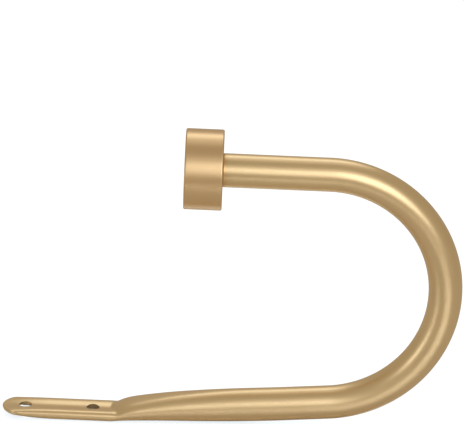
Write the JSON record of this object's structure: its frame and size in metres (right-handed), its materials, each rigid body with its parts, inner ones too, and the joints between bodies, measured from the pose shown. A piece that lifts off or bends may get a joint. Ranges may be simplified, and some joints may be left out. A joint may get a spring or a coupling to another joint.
{
  "type": "curtain holdback",
  "caption": "U-shaped curtain holdback bent from round tube, with a flattened screw tab at the wall and a drum-shaped end cap that keeps the gathered curtain behind it.",
  "frame": {"origin": "midway between the two screw holes, on the back of the tab's thin middle, 2.75 mm in front of the wall plane", "axes": "+X along the tab towards the bend, +Y across the tube, +Z straight out of the wall"},
  "size_m": [0.2168, 0.038, 0.1458],
  "materials": {
    "gold_tube": "satin gold plated, lacquered",
    "gold_cap": "satin gold to match the tube",
    "plain_steel": "zinc plated"
  },
  "bodies": {
    "root": {"holdback_tube": "gold_tube", "end_cap": "gold_cap", "end_plug": "plain_steel", "cap_stud": "plain_steel"}
  },
  "joints": []
}
